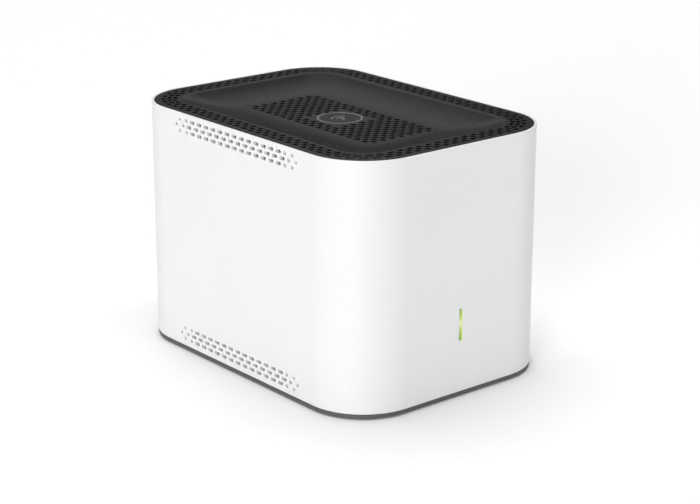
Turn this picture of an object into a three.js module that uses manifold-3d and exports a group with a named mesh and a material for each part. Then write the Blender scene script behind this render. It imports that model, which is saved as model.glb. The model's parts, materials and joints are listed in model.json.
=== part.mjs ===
// Tower-shaped wireless router: a white sleeve on a dark base, closed by a dished, vented top cover.
// Millimetres, +Z up, origin on the table under the middle of the body. The narrow face with the
// status light looks to -Y and the sockets look to +Y.

import * as THREE from 'three';
import { mergeVertices } from 'three/addons/utils/BufferGeometryUtils.js';
import Module from 'manifold-3d';

const wasm = await Module();
wasm.setup();

// ---- Driving dimensions ------------------------------------------------------------------------

const height = 120;             // table to rim
const width = 125.6;            // X
const depth = 173.6;            // Y
const cornerRadius = 29.6;      // plan corners of the body
const wall = 2;                 // sleeve wall
const rimWall = 1.2;            // thinner rim that shows round the top cover
const gap = 0.3;                // clearance between neighbouring pieces

const halfWidth = width / 2;
const halfDepth = depth / 2;
const cornerX = halfWidth - cornerRadius;   // centres of the corner arcs
const cornerY = halfDepth - cornerRadius;

// Base: a strip that shows under the sleeve, with the plate, bosses and feet on it.
const footHeight = 0.5;         // the feet stand this far out of the base
const stripInset = 0.13;
const stripTop = 2.34;
const sleeveBottom = 2.54;
const lipTop = 4.6;
const footRadius = 7;
const footSpot = [40, 62];
const cornerScrewSpot = [cornerX + 14.5, cornerY + 14.5];

// Side vents: two bands of three rows on each long side.
const ventHeight = 1.45;
const ventRowPitch = 2.76;
const upperVentTop = height - 3.2;          // middle of the highest row
const lowerVentBottom = 6.1;                // middle of the lowest row
const ventBandLength = 88;
const ventBridge = 4;

// Top cover: a flat vented border, a ridge, and a shallow dish with a vented floor.
const coverThickness = 1.6;
const coverInset = rimWall + gap;
const borderRows = [5.7, 8.5, 11.2];        // inset of each slot row from the body's surface
const ridgeInset = 15;
const dishDepth = 4.3;
const floorInset = 40.2;
const floorCornerRadius = 6;
const floorPitchX = 2.77;
const floorColumns = 7;                     // columns on each side of the middle one
const floorSlotReach = 46;
const emblemRadius = 11.5;
const emblemClear = 13.5;                   // half of the unvented square round the emblem

// Status light on the front.
const lightWidth = 1.7;
const lightHeight = 15.7;
const lightMiddle = 35.45;

// Inside.
const boardBottom = 14;
const boardThickness = 1.6;
const boardTop = boardBottom + boardThickness;
const onBoard = boardTop + gap;             // underside of what is soldered to the board
const boardWidth = 100;
const boardLength = 151;
const boardMiddleY = -0.5;
const boardScrewSpot = [42.5, 50];
const frameBottom = 84;
const frameThickness = 2;

// Rear bay with the sockets.
const bayHalfWidth = 43.9;
const bayBottom = 13.6;
const bayTop = 46.4;
const bayWall = 1.6;
const panelFace = 79;                       // outer face of the bay's back wall
const panelThickness = 2;
const panelInside = panelFace - panelThickness;

const jackWidth = 15.9;
const jackLength = 21;
const jackHeight = 13.4;
const jackPitch = 17.5;
const firstJackX = -32.25;
const powerInletX = 35.7;
const powerInletZ = onBoard + 5.5;

const buttonRowZ = 38.5;
const powerButtonX = 30;
const pairingButtonX = 0;
const resetX = -30;
const buttonBoardFace = 61.2;
const switchBack = buttonBoardFace + gap;

// ---- Finishes ----------------------------------------------------------------------------------

function finish(color, roughness, metalness = 0) {
  return new THREE.MeshStandardMaterial({ color, roughness, metalness });
}

const whitePlastic = finish(0xeeeeec, 0.42);
const darkPlastic = finish(0x3a3b3d, 0.55);
const greyPlastic = finish(0x55575a, 0.6);
const blackPlastic = finish(0x1d1e20, 0.5);
const lightGreyInk = finish(0x7b7d80, 0.5);
const rubber = finish(0x2c2c2c, 0.85);
const paper = finish(0xe6e6e2, 0.7);
const boardGreen = finish(0x1e4d33, 0.45);
const bareAluminium = finish(0xb6b9bc, 0.4, 0.9);
const platedSteel = finish(0xa9abad, 0.35, 0.9);
const chipBlack = finish(0x232426, 0.5);
const padGrey = finish(0x9b9c97, 0.8);
const greenLight = finish(0xa9d24a, 0.3);
const clearPlastic = finish(0xdfe8cf, 0.2);
const yellowPlastic = finish(0xd8b52c, 0.5);

// ---- Solids ------------------------------------------------------------------------------------

// A closed three.js geometry as a solid that can be cut and joined.
function solid(geometry) {
  geometry.deleteAttribute('normal');
  geometry.deleteAttribute('uv');
  const welded = mergeVertices(geometry, 1e-4);
  const corners = welded.index.array;
  const triangles = [];
  for (let i = 0; i < corners.length; i += 3) {
    const [a, b, c] = corners.slice(i, i + 3);
    if (a !== b && b !== c && c !== a) triangles.push(a, b, c);
  }
  const mesh = new wasm.Mesh({
    numProp: 3,
    vertProperties: new Float32Array(welded.attributes.position.array),
    triVerts: new Uint32Array(triangles),
  });
  return new wasm.Manifold(mesh);
}

function join(...solids) {
  return solids.reduce((whole, next) => whole.add(next));
}

function cut(body, ...tools) {
  return body.subtract(join(...tools));
}

function block([x0, x1], [y0, y1], [z0, z1]) {
  const box = new THREE.BoxGeometry(x1 - x0, y1 - y0, z1 - z0);
  return solid(box.translate((x0 + x1) / 2, (y0 + y1) / 2, (z0 + z1) / 2));
}

function roundedRectangle(w, d, r, [x, y] = [0, 0]) {
  const shape = new THREE.Shape();
  const cx = w / 2 - r;
  const cy = d / 2 - r;
  shape.absarc(x + cx, y + cy, r, 0, 0.5 * Math.PI);
  shape.absarc(x - cx, y + cy, r, 0.5 * Math.PI, Math.PI);
  shape.absarc(x - cx, y - cy, r, Math.PI, 1.5 * Math.PI);
  shape.absarc(x + cx, y - cy, r, 1.5 * Math.PI, 2 * Math.PI);
  shape.closePath();
  return shape;
}

// The body's outline, moved inwards by an inset.
function bodyOutline(inset) {
  return roundedRectangle(width - 2 * inset, depth - 2 * inset, cornerRadius - inset);
}

// A plate with its outline in plan, standing from z0 to z1.
function slab(shape, z0, z1, arcSteps = 5) {
  const options = { depth: z1 - z0, bevelEnabled: false, curveSegments: arcSteps };
  return solid(new THREE.ExtrudeGeometry(shape, options).translate(0, 0, z0));
}

// A plate with its outline drawn in X and Z, reaching from y0 to y1.
function uprightSlab(shape, y0, y1, arcSteps = 2) {
  const options = { depth: y1 - y0, bevelEnabled: false, curveSegments: arcSteps };
  return solid(new THREE.ExtrudeGeometry(shape, options).rotateX(Math.PI / 2).translate(0, y1, 0));
}

// Round bars along Z and along Y.
function pillar(radius, x, y, z0, z1, sides = 12) {
  const bar = new THREE.CylinderGeometry(radius, radius, z1 - z0, sides).rotateX(Math.PI / 2);
  return solid(bar.translate(x, y, (z0 + z1) / 2));
}

function axleBar(radius, x, z, y0, y1, sides = 12) {
  const bar = new THREE.CylinderGeometry(radius, radius, y1 - y0, sides);
  return solid(bar.translate(x, (y0 + y1) / 2, z));
}

// One function call for each of the four places (+-x, +-y).
function fourCorners([x, y], make) {
  return [[-1, -1], [1, -1], [1, 1], [-1, 1]].map(([sx, sy], i) => make(sx * x, sy * y, i, sx, sy));
}

const router = new THREE.Group();

function place(name, body, material, position = [0, 0, 0], parent = router) {
  const { vertProperties, triVerts } = body.getMesh();
  const geometry = new THREE.BufferGeometry();
  geometry.setAttribute('position', new THREE.BufferAttribute(vertProperties, 3));
  geometry.setIndex(new THREE.BufferAttribute(triVerts, 1));
  geometry.computeVertexNormals();
  const mesh = new THREE.Mesh(geometry, material);
  mesh.name = name;
  mesh.position.set(...position);
  parent.add(mesh);
  return mesh;
}

// ---- Sleeve ------------------------------------------------------------------------------------

// A row of long slots, as [start, end] pairs along its length.
function slotRow(reach, count, bridge) {
  const pitch = (2 * reach + bridge) / count;
  return Array.from({ length: count }, (_, i) => [-reach + i * pitch, -reach + (i + 1) * pitch - bridge]);
}

function sideVents() {
  const slots = [];
  const runs = slotRow(ventBandLength / 2, 3, ventBridge);
  for (const side of [-1, 1]) {
    const through = [side * halfWidth - 4, side * halfWidth + 4];
    for (let row = 0; row < 3; row += 1) {
      for (const middle of [upperVentTop - row * ventRowPitch, lowerVentBottom + row * ventRowPitch]) {
        for (const run of runs) slots.push(block(through, run, [middle - ventHeight / 2, middle + ventHeight / 2]));
      }
    }
  }
  return slots;
}

const hookPlaces = [-22, 22];
const hookWidth = 10;
const catchBottom = 109;

// Bosses for the screws that hold the sleeve to the base, each webbed to its corner.
const bossTop = 30;
const bossBottom = 5.8;

function cornerBoss(x, y, sx, sy) {
  const reachOut = (cornerRadius - 1 - 14.5 * Math.SQRT2);
  const web = new THREE.BoxGeometry(reachOut, 1.6, bossTop - bossBottom);
  web.translate(reachOut / 2, 0, (bossTop + bossBottom) / 2);
  web.rotateZ(Math.atan2(sy, sx)).translate(x, y, 0);
  return join(pillar(4, x, y, bossBottom, bossTop), solid(web));
}

function makeSleeve() {
  const shell = cut(
    slab(bodyOutline(0), sleeveBottom, height),
    slab(bodyOutline(wall), 0, height + 1),
    slab(bodyOutline(rimWall), height - coverThickness - gap, height + 1),
  );
  const bosses = fourCorners(cornerScrewSpot, (x, y, i, sx, sy) => cornerBoss(x, y, sx, sy));
  const pilots = fourCorners(cornerScrewSpot, (x, y) => pillar(1.8, x, y, 0, 18, 8));
  const catches = [];
  for (const x of hookPlaces) {
    for (const side of [-1, 1]) {
      const reach = [side * (halfDepth - 3.6), side * (halfDepth - wall + 0.5)].sort((a, b) => a - b);
      catches.push(block([x - hookWidth / 2, x + hookWidth / 2], reach, [catchBottom, catchBottom + 1.2]));
    }
  }
  const bayOpening = block(
    [-bayHalfWidth - bayWall - gap, bayHalfWidth + bayWall + gap],
    [cornerY, halfDepth + 1],
    [bayBottom - bayWall - gap, bayTop + bayWall + gap],
  );
  const lightShape = roundedRectangle(
    lightWidth + 2 * gap, lightHeight + 2 * gap, lightWidth / 2 + gap, [0, lightMiddle],
  );
  const lightOpening = uprightSlab(lightShape, -halfDepth - 1, -halfDepth + 4);
  return cut(join(shell, ...bosses, ...catches), ...pilots, ...sideVents(), bayOpening, lightOpening);
}

// ---- Top cover ---------------------------------------------------------------------------------

// How far down the dish's slope an inset lies, from 0 on the border to 1 on the floor.
function slopeShare(inset) {
  return Math.min(Math.max((inset - ridgeInset) / (floorInset - ridgeInset), 0), 1);
}

function coverHeight(inset) {
  return height - dishDepth * (1 - (1 - slopeShare(inset)) ** 1.8);
}

// Plan radius of the ring at an inset: parallel to the body on the border, tighter down the slope.
function coverRadius(inset) {
  const ridgeRadius = cornerRadius - ridgeInset;
  const share = slopeShare(inset);
  return share > 0 ? ridgeRadius + (floorCornerRadius - ridgeRadius) * share : cornerRadius - inset;
}

// The cover is turned as a lathe profile, then each ring is stretched into the body's outline
// at that ring's inset, so the dish follows the rounded rectangle.
function coverPlate() {
  const insets = [coverInset, ridgeInset, 19, 24, 31, floorInset];
  const cornerSteps = 6;
  const perimeterSteps = 4 * (cornerSteps + 1);
  const profile = [];
  const upper = insets.map((inset) => ({ inset, z: coverHeight(inset) }));
  const lower = upper.map(({ inset, z }) => ({ inset, z: z - coverThickness })).reverse();
  const rings = [...lower, ...upper];
  profile.push(new THREE.Vector2(0, lower[0].z));
  for (const { inset, z } of rings) profile.push(new THREE.Vector2(halfDepth - inset, z));
  profile.push(new THREE.Vector2(0, upper.at(-1).z));
  const lathe = new THREE.LatheGeometry(profile, perimeterSteps);
  const position = lathe.attributes.position;
  for (let i = 0; i < position.count; i += 1) {
    const ring = i % profile.length;
    const step = Math.floor(i / profile.length) % perimeterSteps;
    const corner = Math.floor(step / (cornerSteps + 1));
    const angle = (corner + (step % (cornerSteps + 1)) / cornerSteps) * 0.5 * Math.PI;
    const z = profile[ring].y;
    if (ring === 0 || ring === profile.length - 1) {
      position.setXYZ(i, 0, 0, z);
    } else {
      const { inset } = rings[ring - 1];
      const radius = coverRadius(inset);
      const sx = corner === 0 || corner === 3 ? 1 : -1;
      const sy = corner < 2 ? 1 : -1;
      const x = sx * (halfWidth - inset - radius) + radius * Math.cos(angle);
      const y = sy * (halfDepth - inset - radius) + radius * Math.sin(angle);
      position.setXYZ(i, x, y, z);
    }
  }
  return solid(lathe);
}

function borderSlots() {
  const slots = [];
  const half = ventHeight / 2;
  const through = [height - 4, height + 1];
  for (const inset of borderRows) {
    for (const side of [-1, 1]) {
      const x = side * (halfWidth - inset);
      const y = side * (halfDepth - inset);
      for (const run of slotRow(cornerY, 3, ventBridge)) slots.push(block([x - half, x + half], run, through));
      for (const run of slotRow(cornerX, 2, ventBridge)) slots.push(block(run, [y - half, y + half], through));
    }
  }
  return slots;
}

function floorSlots() {
  const slots = [];
  for (let column = -floorColumns; column <= floorColumns; column += 1) {
    const x = column * floorPitchX;
    const across = [x - ventHeight / 2, x + ventHeight / 2];
    const runs = Math.abs(x) < emblemClear
      ? [[-floorSlotReach, -emblemClear], [emblemClear, floorSlotReach]]
      : slotRow(floorSlotReach, 3, ventBridge);
    for (const run of runs) slots.push(block(across, run, [height - 9, height]));
  }
  return slots;
}

// Spring hook that clips under a catch inside the sleeve.
function coverHook(x, side) {
  const along = [x - hookWidth / 2, x + hookWidth / 2];
  const across = (a, b) => [side * (halfDepth - a), side * (halfDepth - b)].sort((p, q) => p - q);
  const leg = block(along, across(5.4, 3.9), [107.2, height - coverThickness / 2]);
  const barb = block(along, across(4.4, 2.6), [107.2, catchBottom - gap]);
  return join(leg, barb);
}

function makeTopCover() {
  const hooks = hookPlaces.flatMap((x) => [coverHook(x, -1), coverHook(x, 1)]);
  const floorTop = height - dishDepth;
  const emblemSeat = pillar(emblemRadius + gap, 0, 0, floorTop - 0.6, floorTop + 1, 24);
  const plate = cut(coverPlate(), ...borderSlots(), ...floorSlots(), emblemSeat);
  return join(plate, ...hooks);
}

// ---- Base --------------------------------------------------------------------------------------

const labelSize = [52, 30];

function makeBaseCover() {
  const plate = slab(bodyOutline(stripInset), footHeight, stripTop);
  const lip = cut(
    slab(bodyOutline(wall + gap), stripTop - 0.5, lipTop),
    slab(bodyOutline(wall + gap + 1.6), 0, lipTop + 1),
  );
  const pads = fourCorners(cornerScrewSpot, (x, y) => pillar(5, x, y, stripTop - 0.5, 5.5));
  const bosses = fourCorners(boardScrewSpot, (x, y) => pillar(3.5, x, y, stripTop - 0.5, boardBottom - gap));
  const footSeats = fourCorners(footSpot, (x, y) => pillar(footRadius + gap, x, y, 0, 1.6, 16));
  const headSeats = fourCorners(cornerScrewSpot, (x, y) => pillar(3.4, x, y, 0, 3.2));
  const screwHoles = fourCorners(cornerScrewSpot, (x, y) => pillar(1.8, x, y, 0, 8, 8));
  const pilots = fourCorners(boardScrewSpot, (x, y) => pillar(1.5, x, y, 5, boardBottom, 8));
  const [labelX, labelY] = labelSize.map((size) => size / 2 + gap);
  const labelSeat = block([-labelX, labelX], [-labelY, labelY], [0, 1]);
  const airSlots = [];
  for (const side of [-1, 1]) {
    for (let i = 0; i < 5; i += 1) {
      const y = side * (27 + i * 4.5);
      airSlots.push(block([-22, 22], [y - 1, y + 1], [0, stripTop + 1]));
    }
  }
  const tools = [...footSeats, ...headSeats, ...screwHoles, ...pilots, labelSeat, ...airSlots];
  return cut(join(plate, lip, ...pads, ...bosses), ...tools);
}

function makeFoot() {
  return join(pillar(footRadius, 0, 0, 0.3, 1.3, 16), pillar(footRadius - 0.5, 0, 0, 0, 0.5, 16));
}

function makeLabel() {
  const [x, y] = labelSize;
  return slab(roundedRectangle(x, y, 2), 0.55, 0.8, 2);
}

// A screw along Z with its head at z = 0 and its shank upwards, or downwards if length is negative.
function makeScrew(headRadius, headHeight, shankRadius, length) {
  const direction = Math.sign(length);
  const head = [0, -direction * headHeight].sort((a, b) => a - b);
  const shank = [-direction * 0.5, length].sort((a, b) => a - b);
  return join(pillar(headRadius, 0, 0, ...head), pillar(shankRadius, 0, 0, ...shank, 8));
}

// ---- Board and what is on it -------------------------------------------------------------------

const sinkPinSpots = [[-20, -58], [20, 18]];

function makeMainBoard() {
  const outline = roundedRectangle(boardWidth, boardLength, 22, [0, boardMiddleY]);
  const screwHoles = fourCorners(boardScrewSpot, (x, y) => pillar(1.5, x, y, 0, height, 8));
  const pinHoles = sinkPinSpots.map(([x, y]) => pillar(1.8, x, y, 0, height, 8));
  return cut(slab(outline, boardBottom, boardTop, 4), ...screwHoles, ...pinHoles);
}

function makeHeatSink() {
  const baseBottom = 18.2;
  const baseTop = 21.2;
  const plate = block([-30, 30], [-61, 21], [baseBottom, baseTop]);
  const fins = Array.from({ length: 11 }, (_, i) => {
    const x = -29.3 + i * 5.86;
    return block([x - 0.7, x + 0.7], [-55, 15], [baseTop - 0.5, 46]);
  });
  const holes = sinkPinSpots.map(([x, y]) => pillar(1.8, x, y, 0, height, 8));
  return cut(join(plate, ...fins), ...holes);
}

// Push pin: a flat head on the heat sink's base and a shank down through the board.
function makeSinkPin() {
  return join(pillar(2.4, 0, 0, 0, 2.2), pillar(1.5, 0, 0, -9.5, 0.5, 8));
}

function makeCapacitor() {
  const profile = [[0, 0], [4, 0], [4, 1], [3.7, 1.6], [4, 2.2], [4, 12.8], [0, 12.8]];
  const points = profile.map(([x, y]) => new THREE.Vector2(x, y));
  return solid(new THREE.LatheGeometry(points, 12).rotateX(Math.PI / 2));
}

// Modular socket with its mouth at y = 0 and its body behind it; the latch groove is at the bottom.
const jackMouth = { halfWidth: 5.95, bottom: 3.6, top: 11 };

function makeJack() {
  const half = jackWidth / 2;
  const body = block([-half, half], [-jackLength, 0], [0, jackHeight]);
  const { halfWidth: mouth, bottom, top } = jackMouth;
  const cavity = block([-mouth, mouth], [-14, 1], [bottom, top]);
  const latch = block([-3.1, 3.1], [-14, 1], [bottom - 1.4, bottom + 1]);
  const latchTip = block([-2, 2], [-9, 1], [bottom - 2.4, bottom]);
  return cut(body, cavity, latch, latchTip);
}

function makePowerInlet() {
  const body = block([-4.5, 4.5], [65, panelInside - gap], [onBoard, onBoard + 11]);
  const nose = axleBar(4, 0, powerInletZ, 70, panelFace, 16);
  const bore = axleBar(3.1, 0, powerInletZ, 67.5, panelFace + 1, 16);
  const pin = axleBar(1.05, 0, powerInletZ, 67, panelFace - 1.5, 8);
  return join(cut(join(body, nose), bore), pin);
}

// ---- Rear panel, buttons and their switches ----------------------------------------------------

const buttonBoardBosses = [-15, 15];

function makeRearPanel() {
  const outerX = bayHalfWidth + bayWall;
  const block3 = (grow, y0, y1) => block(
    [-outerX - grow, outerX + grow], [y0, y1], [bayBottom - bayWall - grow, bayTop + bayWall + grow],
  );
  const tray = block3(0, panelInside, halfDepth).intersect(slab(bodyOutline(gap), 0, height, 12));
  const flange = block3(2.6, panelFace, halfDepth).intersect(slab(bodyOutline(wall + gap), 0, height, 12));
  const bay = block([-bayHalfWidth, bayHalfWidth], [panelFace, halfDepth + 1], [bayBottom, bayTop]);
  const bosses = buttonBoardBosses.map((x) => axleBar(3, x, buttonRowZ, switchBack, panelInside + 1));
  const screwHoles = buttonBoardBosses.map((x) => axleBar(1.5, x, buttonRowZ, switchBack - 1, 71, 8));
  const jackCuts = [0, 1, 2, 3].map((i) => {
    const x = firstJackX + i * jackPitch;
    const across = [x - jackWidth / 2 - gap, x + jackWidth / 2 + gap];
    return block(across, [panelInside - 1, panelFace + 1], [boardTop, onBoard + jackHeight + gap]);
  });
  const roundCuts = [
    axleBar(4.3, powerInletX, powerInletZ, panelInside - 1, panelFace + 1, 16),
    axleBar(4.8, powerButtonX, buttonRowZ, panelInside - 1, panelFace + 1, 16),
    axleBar(3.3, pairingButtonX, buttonRowZ, panelInside - 1, panelFace + 1, 16),
    axleBar(0.8, resetX, buttonRowZ, panelInside - 1, panelFace + 1, 8),
  ];
  return cut(join(tray, flange, ...bosses), bay, ...screwHoles, ...jackCuts, ...roundCuts);
}

function makeButtonBoard() {
  const outline = roundedRectangle(78, 16, 1.5, [0, buttonRowZ]);
  const holes = buttonBoardBosses.map((x) => axleBar(1.5, x, buttonRowZ, 50, 70, 8));
  return cut(uprightSlab(outline, buttonBoardFace - 1.2, buttonBoardFace), ...holes);
}

function makeButtonBoardScrew() {
  return join(axleBar(2.5, 0, 0, -1.8, 0), axleBar(1.2, 0, 0, -0.5, 10, 8));
}

// A button cap with a retaining flange and a stem; y = 0 is the panel's inner face.
function makeButtonCap(capRadius, proud, stemEnd) {
  return join(
    axleBar(capRadius, 0, 0, -2, panelThickness + proud, 16),
    axleBar(capRadius + 1.2, 0, 0, -1.8, -gap, 16),
    axleBar(1.8, 0, 0, stemEnd - panelInside, -1, 8),
  );
}

function makeSwitchBody(size, length, boreRadius, boreDepth) {
  const half = size / 2;
  const body = block([-half, half], [0, length], [-half, half]);
  return cut(body, axleBar(boreRadius, 0, 0, length - boreDepth, length + 1));
}

function makePlunger(radius, length) {
  return axleBar(radius, 0, 0, 0, length);
}

// ---- Status light ------------------------------------------------------------------------------

const lightBack = -77;

function makeLightGuide() {
  const inner = -halfDepth + wall + gap;
  const bar = roundedRectangle(lightWidth, lightHeight, lightWidth / 2, [0, lightMiddle]);
  const flange = roundedRectangle(6, lightHeight + 4.3, 1.5, [0, lightMiddle]);
  return join(
    uprightSlab(bar, -halfDepth, inner + 0.5),
    uprightSlab(flange, inner, inner + 1.2),
    block([-1.5, 1.5], [inner + 1, lightBack], [lightMiddle - 5, lightMiddle + 5]),
  );
}

// ---- Antenna frame, antennas and leads ---------------------------------------------------------

const antennaX = 51;
const antennaSpotY = 30;

function makeAntennaFrame() {
  const frameTop = frameBottom + frameThickness;
  const ring = cut(
    slab(roundedRectangle(112, 154, 24), frameBottom, frameTop, 4),
    slab(roundedRectangle(84, 116, 1.5), 0, height, 1),
  );
  const legs = fourCorners(boardScrewSpot, (x, y, i, sx, sy) => {
    const across = (a, b) => [sx * a, sx * b].sort((p, q) => p - q);
    const column = block(across(46, 50), [y - 4, y + 4], [onBoard, frameBottom + 0.5]);
    const tab = block(across(38.5, 48), [y - 4, y + 4], [onBoard, onBoard + 2]);
    return join(column, tab);
  });
  const clips = fourCorners([antennaX, antennaSpotY], (x, y) => {
    const rib = (x0) => block([x0 - 0.6, x0 + 0.6], [y - 6, y + 6], [frameTop - 0.5, frameTop + 5]);
    return join(rib(x - 1.3), rib(x + 1.3));
  });
  const holes = fourCorners(boardScrewSpot, (x, y) => pillar(1.5, x, y, boardTop, onBoard + 5, 8));
  return cut(join(ring, ...legs, ...clips), ...holes);
}

function makeAntenna() {
  return block([-0.4, 0.4], [-18, 18], [0, 20]);
}

// A thin coaxial lead from an antenna down to the radio next to it.
function makeLead(side, end) {
  const rear = [[50.3, 41, 96], [46, 41, 95], [40, 39, 88], [38.6, 36, 68], [39.4, 32, 36], [38.6, 31, 16.4]];
  const front = [
    [50.3, -41, 96], [46, -41, 95], [39.8, -38, 87], [37.6, -28, 66], [36.6, -2, 40], [37.4, 14, 24], [37.6, 16, 16.4],
  ];
  const points = (end > 0 ? rear : front).map(([x, y, z]) => new THREE.Vector3(side * x, y, z));
  const options = {
    steps: 14,
    curveSegments: 3,
    extrudePath: new THREE.CatmullRomCurve3(points, false, 'centripetal'),
  };
  const section = new THREE.Shape();
  section.absarc(0, 0, 0.6, 0, 2 * Math.PI);
  return solid(new THREE.ExtrudeGeometry(section, options));
}

// ---- Assembly ----------------------------------------------------------------------------------

function addCasing() {
  place('sleeve', makeSleeve(), whitePlastic);
  place('top_cover', makeTopCover(), darkPlastic);
  place('emblem_disc', pillar(emblemRadius, 0, 0, -0.3, 0.1, 24), lightGreyInk, [0, 0, height - dishDepth]);
  place('base_cover', makeBaseCover(), greyPlastic);
  place('rating_label', makeLabel(), paper);
  place('rear_panel', makeRearPanel(), blackPlastic);
  fourCorners(footSpot, (x, y, i) => place(`foot_${i + 1}`, makeFoot(), rubber, [x, y, 0]));
  fourCorners(cornerScrewSpot, (x, y, i) => {
    place(`base_screw_${i + 1}`, makeScrew(3, 2, 1.5, 13), platedSteel, [x, y, 2.9]);
  });
}

function addBoard() {
  place('main_board', makeMainBoard(), boardGreen);
  place('processor', block([-12.5, 12.5], [-12.5, 12.5], [0, 1.1]), chipBlack, [0, -20, onBoard]);
  place('thermal_pad', block([-11, 11], [-11, 11], [0, 0.6]), padGrey, [0, -20, onBoard + 1.4]);
  place('heat_sink', makeHeatSink(), bareAluminium);
  sinkPinSpots.forEach(([x, y], i) => {
    place(`heat_sink_pin_${i + 1}`, makeSinkPin(), blackPlastic, [x, y, 21.2 + gap]);
  });
  [-24, 24].forEach((x, i) => {
    place(`radio_shield_${i + 1}`, slab(roundedRectangle(24, 22, 1.5), 0, 2.6, 1), platedSteel, [x, 34, onBoard]);
  });
  [32.5, 22.5].forEach((x, i) => {
    place(`capacitor_${i + 1}`, makeCapacitor(), chipBlack, [x, 50, onBoard]);
  });
  place('inductor', slab(roundedRectangle(9, 8, 1.5), 0, 5, 1), chipBlack, [12, 50, onBoard]);
  place('line_transformer', slab(roundedRectangle(34, 8, 0.8), 0, 6, 1), chipBlack, [-17, 50, onBoard]);
  fourCorners(boardScrewSpot, (x, y, i) => {
    place(`board_screw_${i + 1}`, makeScrew(2.75, 1.8, 1.2, -11), platedSteel, [x, y, onBoard + 2 + gap]);
  });
}

function addSockets() {
  const jackNames = ['lan_jack_3', 'lan_jack_2', 'lan_jack_1', 'wan_jack'];
  jackNames.forEach((name, i) => {
    const material = name === 'wan_jack' ? yellowPlastic : platedSteel;
    place(name, makeJack(), material, [firstJackX + i * jackPitch, panelFace, onBoard]);
  });
  place('power_inlet', makePowerInlet(), blackPlastic, [powerInletX, 0, 0]);
}

function addButtons() {
  place('button_board', makeButtonBoard(), boardGreen);
  buttonBoardBosses.forEach((x, i) => {
    const back = buttonBoardFace - 1.2 - gap;
    place(`button_board_screw_${i + 1}`, makeButtonBoardScrew(), platedSteel, [x, back, buttonRowZ]);
  });

  place('power_switch', makeSwitchBody(8, 6, 1.9, 4), chipBlack, [powerButtonX, switchBack, buttonRowZ]);
  place('power_plunger', makePlunger(1.5, 4.9), paper, [powerButtonX, 66, buttonRowZ]);
  place('power_button', makeButtonCap(4.5, 2.5, 71.2), greyPlastic, [powerButtonX, panelInside, buttonRowZ]);

  place('pairing_switch', makeSwitchBody(6, 3.5, 1.9, 1.2), chipBlack, [pairingButtonX, switchBack, buttonRowZ]);
  place('pairing_plunger', makePlunger(1.6, 3), paper, [pairingButtonX, 64.5, buttonRowZ]);
  place('pairing_button', makeButtonCap(3, 1, 67.8), greyPlastic, [pairingButtonX, panelInside, buttonRowZ]);

  place('reset_switch', makeSwitchBody(6, 3.5, 1.9, 1.2), chipBlack, [resetX, switchBack, buttonRowZ]);
  place('reset_plunger', makePlunger(1.6, 10), paper, [resetX, 64.5, buttonRowZ]);
}

function addStatusLight() {
  const boardFront = lightBack + 2;
  place('light_guide', makeLightGuide(), clearPlastic);
  place('status_led', block([-1.5, 1.5], [-0.6, 0.5], [-1.5, 1.5]), greenLight, [0, lightBack + 0.9, lightMiddle + 0.8]);
  place('light_board', block([-7, 7], [boardFront, boardFront + 1], [onBoard, 45]), boardGreen);
}

function addAntennas() {
  place('antenna_frame', makeAntennaFrame(), greyPlastic);
  fourCorners([antennaX, antennaSpotY], (x, y, i, sx, sy) => {
    place(`antenna_${i + 1}`, makeAntenna(), boardGreen, [x, y, frameBottom + frameThickness + gap]);
    place(`antenna_lead_${i + 1}`, makeLead(sx, sy), blackPlastic);
  });
}

addCasing();
addBoard();
addSockets();
addButtons();
addStatusLight();
addAntennas();

export default router;
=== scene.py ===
import json
import math

import bmesh
import bpy
from mathutils import Matrix, Vector


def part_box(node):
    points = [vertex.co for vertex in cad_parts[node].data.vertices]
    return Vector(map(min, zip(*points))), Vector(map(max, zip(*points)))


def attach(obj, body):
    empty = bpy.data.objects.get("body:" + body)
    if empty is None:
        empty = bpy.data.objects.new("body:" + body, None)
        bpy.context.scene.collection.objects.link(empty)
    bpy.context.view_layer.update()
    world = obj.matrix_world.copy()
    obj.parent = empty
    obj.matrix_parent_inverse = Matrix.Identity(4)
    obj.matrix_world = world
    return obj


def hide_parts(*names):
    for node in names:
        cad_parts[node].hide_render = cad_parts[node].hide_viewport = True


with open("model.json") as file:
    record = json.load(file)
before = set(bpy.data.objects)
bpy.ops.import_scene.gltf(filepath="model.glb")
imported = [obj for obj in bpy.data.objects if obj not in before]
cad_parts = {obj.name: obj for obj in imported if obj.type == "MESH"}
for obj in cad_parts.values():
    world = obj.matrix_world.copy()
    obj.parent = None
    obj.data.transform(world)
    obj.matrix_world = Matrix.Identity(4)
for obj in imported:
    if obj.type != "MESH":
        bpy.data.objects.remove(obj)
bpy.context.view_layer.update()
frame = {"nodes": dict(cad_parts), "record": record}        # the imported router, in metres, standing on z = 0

mm = 0.001
scene = bpy.context.scene
sleeveLow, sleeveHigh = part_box("sleeve")
halfX, halfY, topZ, sleeveZ = sleeveHigh.x, sleeveHigh.y, sleeveHigh.z, sleeveLow.z

bodyShape = {
    "cornerRadius": 29.6 * mm,
    "arcSteps": 32,          # facets in each plan corner
    "wall": 2.0 * mm,
    "rim": 1.2 * mm,
    "ventWidth": 1.55 * mm,
    "coverVentWidth": 1.8 * mm,
    "ventLength": 4.0 * mm,
    "ventPitch": 5.51 * mm,  # along a row
    "ventRowPitch": 2.76 * mm,
    "ventFlare": 0.16 * mm,
}
flatX = halfX - bodyShape["cornerRadius"]    # where the flat sides end
flatY = halfY - bodyShape["cornerRadius"]


# Camera, floor and light.

cameraView = {
    "azimuth": -39.732,
    "elevation": 17.918,
    "roll": 0.102,
    "distance": 7.7221 * topZ,
    "right": 0.0414 * topZ,
    "up": -0.0906 * topZ,
    "lens": 98.07,
}


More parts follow.
